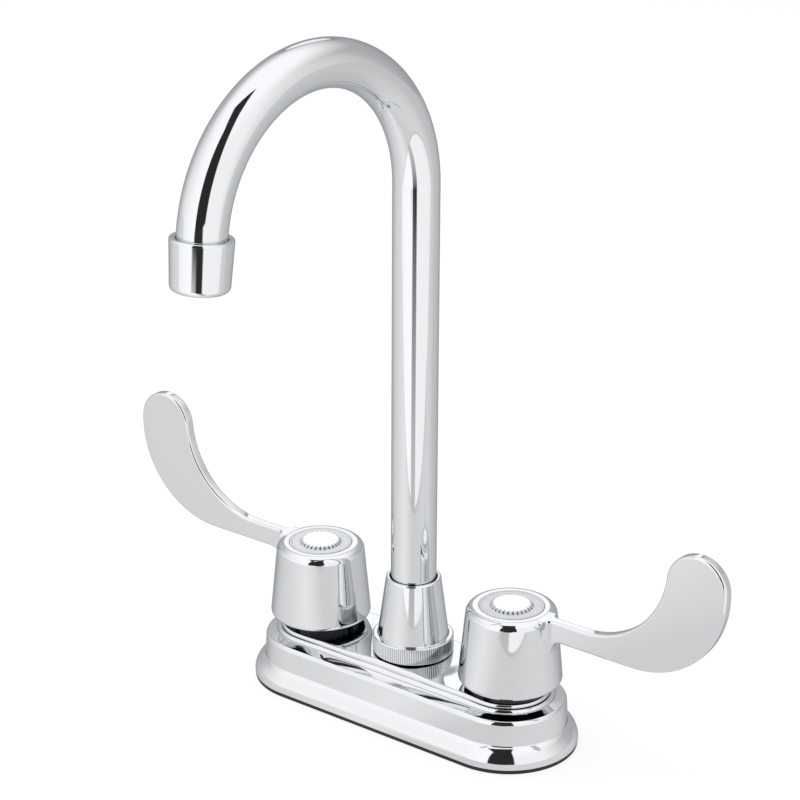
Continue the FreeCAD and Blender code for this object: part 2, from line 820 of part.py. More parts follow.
def main():
    os.makedirs("parts", exist_ok=True)
    save("base_cover", make_base_cover())
    save("deck_gasket", make_deck_gasket())
    save("spout_hub", make_spout_hub())
    save("spout_nut", make_spout_nut())
    save("spout_slip_washer", make_slip_washer())
    save("gooseneck_tube", make_gooseneck_tube())
    save("spout_fitting", make_spout_fitting())
    save("spout_o_rings", make_spout_rings())
    save("outlet_bushing", make_outlet_bushing())
    save("aerator_shell", make_aerator_shell())
    save("aerator_washer", make_outlet_washer())
    save("aerator_insert", make_aerator_insert())
    save("aerator_screen", make_aerator_screen())
    crossover = make_crossover_tube()
    save("crossover_tube_right", crossover)
    turned = crossover.copy()
    turned.rotate(origin, up, 180.0)
    save("crossover_tube_left", turned)
    for name, piece in (
        ("valve_body", make_valve_body()),
        ("inlet_shank", make_inlet_shank()),
        ("lock_ring", make_lock_ring()),
        ("mounting_washer", make_mounting_washer()),
        ("mounting_nut", make_mounting_nut()),
        ("cartridge_housing", make_cartridge_housing()),
        ("seat_seal", make_seat_seal()),
        ("fixed_disc", make_fixed_disc()),
        ("moving_disc", make_moving_disc()),
        ("stem", make_stem()),
        ("stem_o_rings", make_stem_rings()),
        ("stem_clip", make_stem_clip()),
        ("handle", make_handle()),
        ("handle_screw", make_handle_screw()),
        ("index_insert", make_index_insert()),
        ("index_button", make_index_button()),
    ):
        save_pair(name, piece)


main()
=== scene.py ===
import bmesh
import bpy
import json
import math
from mathutils import Matrix, Vector

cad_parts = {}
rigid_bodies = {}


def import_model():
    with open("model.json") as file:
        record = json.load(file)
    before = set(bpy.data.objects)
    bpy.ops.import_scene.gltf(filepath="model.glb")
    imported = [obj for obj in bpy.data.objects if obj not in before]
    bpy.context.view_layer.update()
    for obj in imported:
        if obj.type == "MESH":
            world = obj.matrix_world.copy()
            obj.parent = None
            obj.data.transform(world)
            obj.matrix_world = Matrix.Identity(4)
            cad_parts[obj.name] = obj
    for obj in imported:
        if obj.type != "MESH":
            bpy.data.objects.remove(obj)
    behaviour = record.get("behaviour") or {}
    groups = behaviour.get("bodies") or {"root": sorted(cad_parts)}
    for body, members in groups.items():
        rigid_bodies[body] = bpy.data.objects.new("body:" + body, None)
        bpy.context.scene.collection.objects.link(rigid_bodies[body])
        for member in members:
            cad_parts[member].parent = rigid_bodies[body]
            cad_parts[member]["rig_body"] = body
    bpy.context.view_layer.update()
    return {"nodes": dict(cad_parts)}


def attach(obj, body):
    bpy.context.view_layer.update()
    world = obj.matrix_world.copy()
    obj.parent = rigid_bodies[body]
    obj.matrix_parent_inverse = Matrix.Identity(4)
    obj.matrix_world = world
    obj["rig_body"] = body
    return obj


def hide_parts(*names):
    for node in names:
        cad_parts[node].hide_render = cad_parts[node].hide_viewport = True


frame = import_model()
mm = 0.001
scene = bpy.context.scene
sides = {"left": -1, "right": 1}
print("frame loaded:", len(frame["nodes"]), "nodes")


# small tools

def addNode(tree, kind, settings=None, links=None):  # one node, its settings, and what feeds it
    node = tree.nodes.new(kind)
    for key, value in (settings or {}).items():
        if isinstance(key, int) or key in node.inputs:
            node.inputs[key].default_value = value
        else:
            setattr(node, key, value)
    for key, source in (links or {}).items():
        tree.links.new(source, node.inputs[key])
    return node


def hexColour(code):  # sRGB hex to the linear values that sockets take
    channels = [int(code[i:i + 2], 16) / 255 for i in (1, 3, 5)]
    return [c / 12.92 if c <= 0.04045 else ((c + 0.055) / 1.055) ** 2.4 for c in channels] + [1.0]


def newMaterial(name, shaderSettings):
    material = bpy.data.materials.new(name)
    material.use_nodes = True
    tree = material.node_tree
    tree.nodes.clear()
    shader = addNode(tree, "ShaderNodeBsdfPrincipled", shaderSettings)
    addNode(tree, "ShaderNodeOutputMaterial", links={"Surface": shader.outputs["BSDF"]})
    return material, tree, shader


def partValues(values):  # a dictionary's plain levels, and its sockets
    levels = {key: value for key, value in values.items() if isinstance(value, float)}
    return levels, {key: value for key, value in values.items() if key not in levels}


def calculate(tree, operation, *values):  # a Math node on levels and sockets
    levels, sources = partValues(dict(enumerate(values)))
    return addNode(tree, "ShaderNodeMath", {"operation": operation, **levels}, sources).outputs[0]


def remap(tree, source, start, end, low=0.0, high=1.0):  # carries start..end over to low..high, and stops there
    settings = {"From Min": start, "From Max": end, "To Min": low, "To Max": high}
    return addNode(tree, "ShaderNodeMapRange", settings, {"Value": source}).outputs[0]


def surfaceNoise(tree, grain, stretch=(1, 1, 1), detail=3):  # noise with a grain of that many mm
    place = addNode(tree, "ShaderNodeTexCoord").outputs["Object"]
    spread = addNode(tree, "ShaderNodeMapping", {"Scale": stretch}, {"Vector": place})
    noise = addNode(tree, "ShaderNodeTexNoise", {"Scale": 1 / (grain * mm), "Detail": detail},
                    {"Vector": spread.outputs[0]})
    return noise.outputs["Fac"]


def varyRoughness(tree, shader, source, low, high):  # most of the noise lies between 0.3 and 0.7
    tree.links.new(remap(tree, source, 0.3, 0.7, low, high), shader.inputs["Roughness"])


def addBump(tree, shader, source, height):  # height in mm
    bump = addNode(tree, "ShaderNodeBump", {"Strength": 1.0, "Distance": height * mm}, {"Height": source})
    tree.links.new(bump.outputs["Normal"], shader.inputs["Normal"])


# materials

def polishedChrome(name, waviness):  # chromium over bright nickel: a cold white mirror, a little darker at its edges
    material, tree, shader = newMaterial(name, {
        "Base Color": hexColour("#E9EBED"), "Metallic": 1.0, "Roughness": 0.05,
        "Specular Tint": hexColour("#C4C7CA")})
    varyRoughness(tree, shader, surfaceNoise(tree, 9, detail=2), 0.03, 0.07)
    addBump(tree, shader, surfaceNoise(tree, 14, detail=1), waviness)
    return material


def bareZinc():  # die-cast zinc that the plating doesn't reach: dark grey, dry
    material, tree, shader = newMaterial("bareZinc", {
        "Base Color": hexColour("#3C3D3F"), "Metallic": 0.5, "Roughness": 0.7})
    grain = surfaceNoise(tree, 1.0, detail=5)
    varyRoughness(tree, shader, grain, 0.6, 0.8)
    addBump(tree, shader, grain, 0.03)
    return material


def turnedBrass():  # free-cutting brass off the lathe: warm yellow with fine rings
    material, tree, shader = newMaterial("turnedBrass", {
        "Base Color": hexColour("#C9A560"), "Metallic": 1.0, "Roughness": 0.3})
    rings = surfaceNoise(tree, 2.5, stretch=(0.1, 0.1, 6), detail=4)
    varyRoughness(tree, shader, rings, 0.22, 0.4)
    addBump(tree, shader, rings, 0.02)
    return material


def drawnCopper():  # copper water tube: pink-brown, drawn lengthwise, slightly dulled
    material, tree, shader = newMaterial("drawnCopper", {
        "Base Color": hexColour("#C4795A"), "Metallic": 1.0, "Roughness": 0.3})
    lines = surfaceNoise(tree, 2.0, stretch=(0.08, 4, 4), detail=4)
    varyRoughness(tree, shader, lines, 0.2, 0.42)
    addBump(tree, shader, lines, 0.01)
    return material


def stainlessSteel():  # rolled stainless sheet and wire: grey, softly brushed
    material, tree, shader = newMaterial("stainlessSteel", {
        "Base Color": hexColour("#B9BBBD"), "Metallic": 1.0, "Roughness": 0.28})
    grain = surfaceNoise(tree, 1.2, stretch=(0.2, 5, 5), detail=4)
    varyRoughness(tree, shader, grain, 0.2, 0.38)
    addBump(tree, shader, grain, 0.006)
    return material


def mouldedRubber():  # EPDM rubber: black, dry, with a fine moulded grain
    material, tree, shader = newMaterial("mouldedRubber", {
        "Base Color": hexColour("#17181A"), "Roughness": 0.6, "IOR": 1.52})
    grain = surfaceNoise(tree, 0.5, detail=5)
    varyRoughness(tree, shader, grain, 0.5, 0.75)
    addBump(tree, shader, grain, 0.03)
    return material


def aluminaCeramic():  # lapped alumina: ivory white with a wet shine
    material, tree, shader = newMaterial("aluminaCeramic", {
        "Base Color": hexColour("#EFEBE1"), "Roughness": 0.15, "IOR": 1.76})
    varyRoughness(tree, shader, surfaceNoise(tree, 1.5), 0.1, 0.22)
    return material


def whiteAcetal():  # moulded acetal: milky white, waxy
    material, tree, shader = newMaterial("whiteAcetal", {
        "Base Color": hexColour("#E9E8E3"), "Roughness": 0.4, "IOR": 1.48, "Subsurface Weight": 0.1,
        "Subsurface Radius": (0.002, 0.002, 0.0015), "Subsurface Scale": 1.0})
    grain = surfaceNoise(tree, 0.8, detail=4)
    varyRoughness(tree, shader, grain, 0.32, 0.48)
    addBump(tree, shader, grain, 0.008)
    return material


def blackNylonAndShade():  # glass-filled nylon: dark, with a sparked mould grain; on the lock ring the black is also painted shade for the gap under the hub
    material, tree, shader = newMaterial("blackNylonAndShade", {
        "Base Color": hexColour("#222325"), "Roughness": 0.5, "IOR": 1.53})
    grain = surfaceNoise(tree, 0.6, detail=6)
    varyRoughness(tree, shader, grain, 0.42, 0.62)
    addBump(tree, shader, grain, 0.05)
    return material


def clearAcrylic():  # polished acrylic silvered from behind: pale and milky at an angle, with sharp highlights
    material, tree, shader = newMaterial("clearAcrylic", {
        "Base Color": hexColour("#DDE0E2"), "Roughness": 0.04, "IOR": 1.49, "Transmission Weight": 0.35})
    varyRoughness(tree, shader, surfaceNoise(tree, 4), 0.02, 0.06)
    return material


def frostedAcrylic():  # the same acrylic over a white back: the bright middle of the button
    material, tree, shader = newMaterial("frostedAcrylic", {
        "Base Color": hexColour("#E6E8E9"), "Roughness": 0.08, "IOR": 1.49})
    varyRoughness(tree, shader, surfaceNoise(tree, 3), 0.05, 0.12)
    return material


def brightFoil():  # vacuum-metallised plastic behind the clear button: silver, a little soft
    material, tree, shader = newMaterial("brightFoil", {
        "Base Color": hexColour("#D9DBDD"), "Metallic": 1.0, "Roughness": 0.22})
    grain = surfaceNoise(tree, 0.7, detail=4)
    varyRoughness(tree, shader, grain, 0.16, 0.3)
    addBump(tree, shader, grain, 0.01)
    return material


def paintedGrooveShade():  # painted shade: dark plated wedges round the button's white middle, standing for the shaded grooves between the flutes
    material, tree, shader = newMaterial("paintedGrooveShade", {
        "Base Color": hexColour("#3E4043"), "Metallic": 0.8, "Roughness": 0.25})
    varyRoughness(tree, shader, surfaceNoise(tree, 0.7), 0.2, 0.3)
    return material


castChrome = polishedChrome("castChrome", 0.004)
drawnChrome = polishedChrome("drawnChrome", 0.0015)
zinc = bareZinc()
brass = turnedBrass()
copper = drawnCopper()
steel = stainlessSteel()
rubber = mouldedRubber()
ceramic = aluminaCeramic()
acetal = whiteAcetal()
nylonAndShade = blackNylonAndShade()
acrylic = clearAcrylic()
whiteCentre = frostedAcrylic()
foil = brightFoil()
grooveShadeMaterial = paintedGrooveShade()
print("materials ready")


# mesh tools

def drawProfile(corners, closed=True, segments=6):  # corners are (radius, height, rounding) in mm, in the XZ plane
    bm = bmesh.new()
    verts = [bm.verts.new((radius * mm, 0, height * mm)) for radius, height, rounding in corners]
    followers = verts[1:] + verts[:1] if closed else verts[1:]
    for start, end in zip(verts, followers):
        bm.edges.new((start, end))
    for vert, (radius, height, rounding) in zip(verts, corners):
        if rounding:
            bmesh.ops.bevel(bm, geom=[vert], offset=rounding * mm, offset_type='OFFSET', segments=segments,
                            profile=0.5, affect='VERTICES', material=-1)
    return bm


def closeUp(bm):  # doubles away, faces outwards
    bmesh.ops.remove_doubles(bm, verts=bm.verts[:], dist=1e-7)
    bmesh.ops.recalc_face_normals(bm, faces=bm.faces[:])
    return bm


def lathe(corners, steps=128, segments=6, closed=True):
    bm = drawProfile(corners, closed=closed, segments=segments)
    bmesh.ops.spin(bm, geom=bm.verts[:] + bm.edges[:], cent=(0, 0, 0), axis=(0, 0, 1), dvec=(0, 0, 0),
                   angle=math.tau, steps=steps, use_merge=True)
    return closeUp(bm)


def shiftAlong(bm, edges, move):  # extrudes a row of edges sideways and gives the new row
    result = bmesh.ops.extrude_edge_only(bm, edges=edges)["geom"]
    verts = [item for item in result if isinstance(item, bmesh.types.BMVert)]
    bmesh.ops.translate(bm, verts=verts, vec=move)
    moved = set(verts)
    return [item for item in result if isinstance(item, bmesh.types.BMEdge) and set(item.verts) <= moved]


def swingEnd(bm, edges, centre, steps):  # half a turn about an upright axis
    verts = list({vert for edge in edges for vert in edge.verts})
    result = bmesh.ops.spin(bm, geom=verts + edges, cent=centre, axis=(0, 0, 1), dvec=(0, 0, 0),
                            angle=math.pi, steps=steps)
    return [item for item in result["geom_last"] if isinstance(item, bmesh.types.BMEdge)]


def obround(corners, halfStraight, closed, steps, segments=6):  # carries a side profile round the whole base
    bm = drawProfile(corners, closed=closed, segments=segments)
    turn = Matrix.Translation((halfStraight * mm, 0, 0)) @ Matrix.Rotation(-math.pi / 2, 4, 'Z')
    bmesh.ops.transform(bm, matrix=turn, verts=bm.verts[:])
    row = swingEnd(bm, bm.edges[:], (halfStraight * mm, 0, 0), steps)
    row = shiftAlong(bm, row, (-2 * halfStraight * mm, 0, 0))
    row = swingEnd(bm, row, (-halfStraight * mm, 0, 0), steps)
    shiftAlong(bm, row, (2 * halfStraight * mm, 0, 0))
    return closeUp(bm)


def moveMesh(bm, *steps):  # steps are matrices, the last one first
    for step in reversed(steps):
        bmesh.ops.transform(bm, matrix=step, verts=bm.verts[:])
    return bm


def addPiece(name, bm, material, body, replaced=(), sharpFrom=35):
    mesh = bpy.data.meshes.new(name)
    bm.to_mesh(mesh)
    bm.free()
    mesh.materials.append(material)
    mesh.shade_smooth()
    mesh.set_sharp_from_angle(angle=math.radians(sharpFrom))
    piece = bpy.data.objects.new(name, mesh)
    scene.collection.objects.link(piece)
    piece.modifiers.new("evenShading", 'WEIGHTED_NORMAL').keep_sharp = True
    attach(piece, body)
    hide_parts(*replaced)
    return piece


def atValve(side):  # the left valve is the right one turned half round
    turn = Matrix.Rotation(math.pi if side < 0 else 0, 4, 'Z')
    return Matrix.Translation((side * layout["valveX"] * mm, 0, 0)) @ turn


layout = {"valveX": 50.8, "spoutSwing": -4.3, "bendRadius": 59.6, "bendHeight": 235.2, "bendAngle": 175.0}


# base

base = {
    "halfStraight": 49.4, "bottom": 1.8, "skin": 2.2, "endSteps": 56, "cornerSteps": 12,
    "foot": 30.4, "footTop": 3.4, "flare": 30.01, "flareTop": 7.86, "flareRound": 4.47,
    "wall": 25.8, "cove": 10.29, "coveRound": 0.38, "coveInside": 1.5,
    "shoulder": 25.2, "ledge": 21.3, "shoulderDrop": 0.2, "shoulderRound": 1.8,
    "hollowOut": 1.85, "hollowUp": 0.35, "hollowRound": 1.7,
    "bead": 20.35, "beadTop": 24.5, "beadFoot": 22.45, "beadRound": 1.84,
    "plateau": 18.5, "top": 26.0, "plateauRound": 1.49,
    # the rise to the nut: its height, the distances from the nut where it starts and is full, how much lower it
    # is at the sides, and the cuts that let the plateau bend, as (furthest, apart)
    "rise": 1.15, "riseFrom": 34.0, "riseFull": 16.0, "edgeCalm": 0.45, "cutsAlong": (36, 3), "cutsAcross": (16, 4)}


def makeBaseCover():  # plateau, bead, hollow ledge, rounded shoulder, wall, then a long rounded flare
    skin = base["skin"]
    outside = [
        (0, base["top"], 0), (base["plateau"], base["top"], base["plateauRound"]),
        (base["plateau"], base["beadTop"], 0), (base["bead"], base["beadTop"], base["beadRound"]),
        (base["bead"], base["beadFoot"], 0.1),
        (base["bead"] + base["hollowOut"], base["ledge"] + base["hollowUp"], base["hollowRound"]),
        (base["shoulder"], base["ledge"] - base["shoulderDrop"], base["shoulderRound"]),
        (base["wall"], base["cove"], base["coveRound"]), (base["flare"], base["flareTop"], base["flareRound"]),
        (base["foot"], base["footTop"], 0), (base["foot"], base["bottom"], 0.25)]
    inside = [
        (base["foot"] - skin, base["bottom"], 0.2), (base["wall"] - skin, base["cove"] - base["coveInside"], 1.0),
        (base["shoulder"] - skin, base["ledge"] - skin, 0.5), (base["bead"] - skin, base["ledge"] - skin, 0.2),
        (base["bead"] - skin, base["beadTop"] - skin, 0.4), (base["plateau"] - skin, base["top"] - skin, 0.3),
        (0, base["top"] - skin, 0)]
    bm = obround(outside + inside, base["halfStraight"], closed=False, steps=base["endSteps"],
                 segments=base["cornerSteps"])
    swellUnderNut(bm)
    addPiece("baseCover", bm, castChrome, "deck_set", ["base_cover"])


def swellUnderNut(bm):  # the plateau rises softly to the nut that stands on it
    def cutAcross(spot, direction, geom):
        bmesh.ops.bisect_plane(bm, geom=geom, dist=1e-6, plane_co=Vector(spot) * mm, plane_no=direction)

    def cutPlaces(furthest, apart):
        return range(-furthest, furthest + 1, apart)

    for x in cutPlaces(*base["cutsAlong"]):
        cutAcross((x, 0, 0), (1, 0, 0), bm.verts[:] + bm.edges[:] + bm.faces[:])
    for y in cutPlaces(*base["cutsAcross"]):
        top = [face for face in bm.faces if all(vert.co.z > (base["top"] - 0.01) * mm for vert in face.verts)]
        edges = list({edge for face in top for edge in face.edges})
        cutAcross((0, y, 0), (0, 1, 0), list({vert for edge in edges for vert in edge.verts}) + edges + top)
    for vert in bm.verts:
        distance = math.hypot(vert.co.x, vert.co.y) / mm
        share = min(max((base["riseFrom"] - distance) / (base["riseFrom"] - base["riseFull"]), 0), 1)
        height = min(max((vert.co.z / mm - base["beadTop"]) / (base["top"] - base["beadTop"]), 0), 1)
        inward = 1 - base["edgeCalm"] * (vert.co.y / mm / base["bead"]) ** 2
        vert.co.z += base["rise"] * mm * height * inward * (1 - math.cos(math.pi * share)) / 2


gasket = {"inset": 0.2, "band": 5.0}


def makeDeckGasket():
    outer = base["foot"] - gasket["inset"]
    inner = outer - gasket["band"]
    outline = [(inner, 0, 0.3), (outer, 0, 0.4), (outer, base["bottom"], 0.3), (inner, base["bottom"], 0.3)]
    bm = obround(outline, base["halfStraight"], closed=True, steps=base["endSteps"])
    addPiece("deckGasket", bm, rubber, "deck_set", ["deck_gasket"])


makeBaseCover()
makeDeckGasket()
print("base ready")


# spout nut

nut = {"bottom": 27.6, "bandTop": 35.0, "band": 17.4, "cone": 15.25, "rim": 11.7, "rimTop": 61.9, "bore": 10.2,
       "threadBore": 12.1, "shoulder": 38.2, "knurls": 112, "stepsPerKnurl": 4, "knurlDepth": 0.28, "skinDepth": 0.12}


def makeSpoutNut():
    outline = [
        (nut["threadBore"], nut["bottom"], 0.3), (nut["band"], nut["bottom"], 0.35),
        (nut["band"], nut["bandTop"], 0.7), (nut["cone"], nut["bandTop"], 0.35),
        (nut["rim"], nut["rimTop"], 0.75), (nut["bore"], nut["rimTop"], 0.3),
        (nut["bore"], nut["shoulder"], 0), (nut["threadBore"], nut["shoulder"], 0)]
    steps = nut["knurls"] * nut["stepsPerKnurl"]
    bm = lathe(outline, steps=steps, segments=5)
    grooved = (nut["band"] - nut["knurlDepth"]) / nut["band"]
    for vert in bm.verts:  # every fourth row of the band sinks into a groove
        radius = math.hypot(vert.co.x, vert.co.y) / mm
        row = round(math.atan2(vert.co.y, vert.co.x) / math.tau * steps)
        if radius > nut["band"] - nut["skinDepth"] and row % nut["stepsPerKnurl"] == 0:
            vert.co.x *= grooved
            vert.co.y *= grooved
    addPiece("spoutNut", bm, castChrome, "deck_set", ["spout_nut"], sharpFrom=50)


makeSpoutNut()
print("spout nut ready")


# gooseneck

spoutSwing = Matrix.Rotation(math.radians(layout["spoutSwing"]), 4, 'Z')
bendTurn = math.radians(layout["bendAngle"])
toOutlet = (spoutSwing
            @ Matrix.Translation((0, -layout["bendRadius"] * (1 - math.cos(bendTurn)) * mm,
                                  (layout["bendHeight"] + layout["bendRadius"] * math.sin(bendTurn)) * mm))
            @ Matrix.Rotation(bendTurn - math.pi, 4, 'X'))
tube = {"outer": 9.7, "inner": 8.5, "bottom": 36.9, "around": 96, "bendSteps": 96}


def makeGooseneck():
    bm = bmesh.new()
    ends = []
    for radius in (tube["outer"], tube["inner"]):
        ring = bmesh.ops.create_circle(bm, segments=tube["around"], radius=radius * mm,
                                       matrix=Matrix.Translation((0, 0, tube["bottom"] * mm)))["verts"]
        first = list({edge for vert in ring for edge in vert.link_edges})
        upper = shiftAlong(bm, first, (0, 0, (layout["bendHeight"] - tube["bottom"]) * mm))
        verts = list({vert for edge in upper for vert in edge.verts})
        bent = bmesh.ops.spin(bm, geom=verts + upper, cent=(0, -layout["bendRadius"] * mm, layout["bendHeight"] * mm),
                              axis=(1, 0, 0), dvec=(0, 0, 0), angle=bendTurn, steps=tube["bendSteps"])
        last = [item for item in bent["geom_last"] if isinstance(item, bmesh.types.BMEdge)]
        ends.append((first, last))
    for outerEnd, innerEnd in zip(*ends):
        bmesh.ops.bridge_loops(bm, edges=outerEnd + innerEnd)
    moveMesh(closeUp(bm), spoutSwing)
    addPiece("gooseneckTube", bm, drawnChrome, "spout_set", ["gooseneck_tube"])


aerator = {"rim": 12.35, "rimTop": 1.1, "foot": 11.45, "bottom": -19.4, "mouth": 9.0, "lip": 1.2, "seat": 9.6,
           "chamber": 11.0, "chamberFloor": -8.2, "gap": 0.05}


def makeAeratorShell():  # a plain cup with a rolled rim, round at its foot
    bore, lipTop = tube["outer"] + aerator["gap"], aerator["bottom"] + aerator["lip"]
    outline = [
        (bore, aerator["rimTop"], 0.8), (aerator["rim"], aerator["rimTop"], 1.1),
        (aerator["foot"], aerator["bottom"], 2.3), (aerator["mouth"], aerator["bottom"], 0.4),
        (aerator["mouth"], lipTop, 0.1), (aerator["seat"], lipTop, 0), (aerator["seat"], aerator["chamberFloor"], 0),
        (aerator["chamber"], aerator["chamberFloor"], 0), (aerator["chamber"], 0, 0), (bore, 0, 0)]
    bm = moveMesh(lathe(outline, segments=7), toOutlet)
    addPiece("aeratorShell", bm, castChrome, "spout_set", ["aerator_shell"])


makeGooseneck()
makeAeratorShell()
print("spout ready")


# handles

hub = {"bottom": 29.4, "top": 63.2, "bottomRadius": 22.1, "topRadius": 18.85, "bottomSoft": 2.4, "topSoft": 3.3,
       "skin": 3.2, "recess": 13.65, "ledge": 59.0, "screwWell": 9.0, "wellFloor": 55.6, "web": 52.4, "boss": 7.4,
       "bossBottom": 43.4, "socket": 3.95, "screwHole": 2.7}


def makeHub():
    inner = hub["bottomRadius"] - hub["skin"]
    outline = [
        (hub["bottomRadius"], hub["bottom"], hub["bottomSoft"]), (hub["topRadius"], hub["top"], hub["topSoft"]),
        (hub["recess"], hub["top"], 0.3), (hub["recess"], hub["ledge"], 0),
        (hub["screwWell"], hub["ledge"], 0.2), (hub["screwWell"], hub["wellFloor"], 0),
        (hub["screwHole"], hub["wellFloor"], 0.2), (hub["screwHole"], hub["web"], 0),
        (hub["socket"], hub["web"], 0), (hub["socket"], hub["bossBottom"], 0.3),
        (hub["boss"], hub["bossBottom"], 0.6), (hub["boss"], hub["web"], 1.2),
        (hub["topRadius"] - hub["skin"], hub["web"], 2.0), (inner, hub["bottom"], 0.4)]
    bm = lathe(outline, segments=8)
    for face in bm.faces:  # the plating doesn't reach the faces under the web
        middle = face.calc_center_median()
        if math.hypot(middle.x, middle.y) < (inner + 0.3) * mm and middle.z < (hub["web"] + 0.1) * mm:
            face.material_index = 1
    return bm


blade = {"halfThick": 2.4, "edge": 1.15, "reach": 101.5, "tipTop": 111.3, "tip": 13.6, "neckBottom": 54.0,
         "neckEnd": 60.0, "inner": 39.0, "rootStart": 26.6, "underFillet": 6.0, "sideStart": 22.0, "sideFillet": 3.2,
         "rootSteps": 14, "rootEnd": 15.6, "rootSink": 0.06}


def arcFrom(bm, vert, centre, degrees, steps):  # carries a point round a centre in the XZ plane
    result = bmesh.ops.spin(bm, geom=[vert], cent=(centre[0] * mm, 0, centre[1] * mm), axis=(0, 1, 0), dvec=(0, 0, 0),
                            angle=math.radians(degrees), steps=steps)
    return [item for item in result["geom_last"] if isinstance(item, bmesh.types.BMVert)][0]


def drawBlade():  # neck, inner curve, round tip, outer curve, each tangent to the next
    bm = bmesh.new()
    tip = (blade["reach"] - blade["tip"], blade["tipTop"] - blade["tip"])
    innerRise = hub["top"] + blade["inner"] - tip[1]
    inner = (tip[0] - math.sqrt((blade["inner"] + blade["tip"]) ** 2 - innerRise ** 2), hub["top"] + blade["inner"])
    run, rise = tip[0] - blade["neckEnd"], tip[1] - blade["neckBottom"]
    outerRadius = (run ** 2 + rise ** 2 - blade["tip"] ** 2) / (2 * (rise - blade["tip"]))
    outer = (blade["neckEnd"], blade["neckBottom"] + outerRadius)
    innerEnd = math.degrees(math.atan2(tip[1] - inner[1], tip[0] - inner[0]))
    outerEnd = math.degrees(math.atan2(tip[1] - outer[1], tip[0] - outer[0]))
    top = bm.verts.new((blade["rootStart"] * mm, 0, hub["top"] * mm))
    neckTop = bm.verts.new((inner[0] * mm, 0, hub["top"] * mm))
    bottom = bm.verts.new((blade["rootStart"] * mm, 0, blade["neckBottom"] * mm))
    bm.edges.new((bottom, top))
    bm.edges.new((top, neckTop))
    innerTop = arcFrom(bm, neckTop, inner, -(90 + innerEnd), 24)
    tipEnd = arcFrom(bm, innerTop, tip, 180 + innerEnd - outerEnd, 36)
    neckLow = arcFrom(bm, tipEnd, outer, 90 + outerEnd, 26)
    bm.edges.new((neckLow, bottom))
    return bm


def makeBlade():
    bm = drawBlade()
    bmesh.ops.translate(bm, verts=bm.verts[:], vec=(0, -blade["halfThick"] * mm, 0))
    face = bmesh.ops.contextual_create(bm, geom=bm.edges[:])["faces"]
    grown = bmesh.ops.extrude_face_region(bm, geom=face)["geom"]
    farSide = [item for item in grown if isinstance(item, bmesh.types.BMVert)]
    bmesh.ops.translate(bm, verts=farSide, vec=(0, 2 * blade["halfThick"] * mm, 0))
    rootX = blade["rootStart"] * mm + 1e-6
    rims = [edge for edge in bm.edges
            if abs(edge.verts[0].co.y - edge.verts[1].co.y) < 1e-7 and not all(v.co.x < rootX for v in edge.verts)]
    bmesh.ops.bevel(bm, geom=rims, offset=blade["edge"] * mm, offset_type='OFFSET', segments=5, profile=0.5,
                    affect='EDGES', material=-1)
    bmesh.ops.recalc_face_normals(bm, faces=bm.faces[:])
    flareRoot(bm, rootX)
    return bm


def filletAt(radius, distance):  # how far a fillet has left its straight side, that far along it
    reached = min(max(distance, 0), radius)
    return radius - math.sqrt(radius ** 2 - reached ** 2)


def flareRoot(bm, rootX):  # the neck runs into the hub with fillets at both sides and underneath
    cap = [face for face in bm.faces if all(v.co.x < rootX for v in face.verts)]
    bmesh.ops.delete(bm, geom=cap, context='FACES_ONLY')
    rows = [edge for edge in bm.edges if edge.is_boundary]
    place = bm.verts.layers.float_vector.new("rootPlace")
    for vert in {v for edge in rows for v in edge.verts}:
        vert[place] = vert.co
    middle = (blade["neckBottom"] + hub["top"]) / 2
    lastFillet = blade["sideStart"] - blade["sideFillet"]
    run = lastFillet - blade["rootStart"]
    reaches = [blade["rootStart"] + run * (i + 1) / blade["rootSteps"] for i in range(blade["rootSteps"])]
    for reach in reaches + [blade["rootEnd"]]:
        spread = filletAt(blade["sideFillet"], blade["sideStart"] - reach)
        drop = filletAt(blade["underFillet"], blade["rootStart"] - reach)
        sink = blade["rootSink"] if reach == blade["rootEnd"] else 0
        rows = shiftAlong(bm, rows, (0, 0, 0))
        for vert in {v for edge in rows for v in edge.verts}:
            y, z = vert[place].y / mm, vert[place].z / mm
            height = z - drop if z < middle else z - sink
            vert.co = Vector((reach, y + math.copysign(spread, y), height)) * mm
    bmesh.ops.edgeloop_fill(bm, edges=rows)
    bmesh.ops.recalc_face_normals(bm, faces=bm.faces[:])


def makeHandles():
    for name, side in sides.items():
        bm = makeHub()
        hubMesh = bpy.data.meshes.new("hubPart")
        bladeBm = makeBlade()
        bladeBm.to_mesh(hubMesh)
        bladeBm.free()
        bm.from_mesh(hubMesh)
        bpy.data.meshes.remove(hubMesh)
        moveMesh(bm, atValve(side))
        casting = addPiece("handle_" + name + "_casting", bm, castChrome, name + "_handle_set",
                           ["handle_" + name], sharpFrom=50)
        casting.data.materials.append(zinc)


makeHandles()
print("handles ready")


# index buttons

button = {"radius": 13.6, "bottom": 59.9, "rimTop": 63.5, "rimWidth": 0.7, "rimSlope": 0.4, "dish": 0.3,
          "bossFoot": 9.3, "bossTop": 8.0, "bossRise": 1.0, "crown": 0.25, "flutes": 28, "stepsPerFlute": 4,
          "fluteDepth": 0.55}


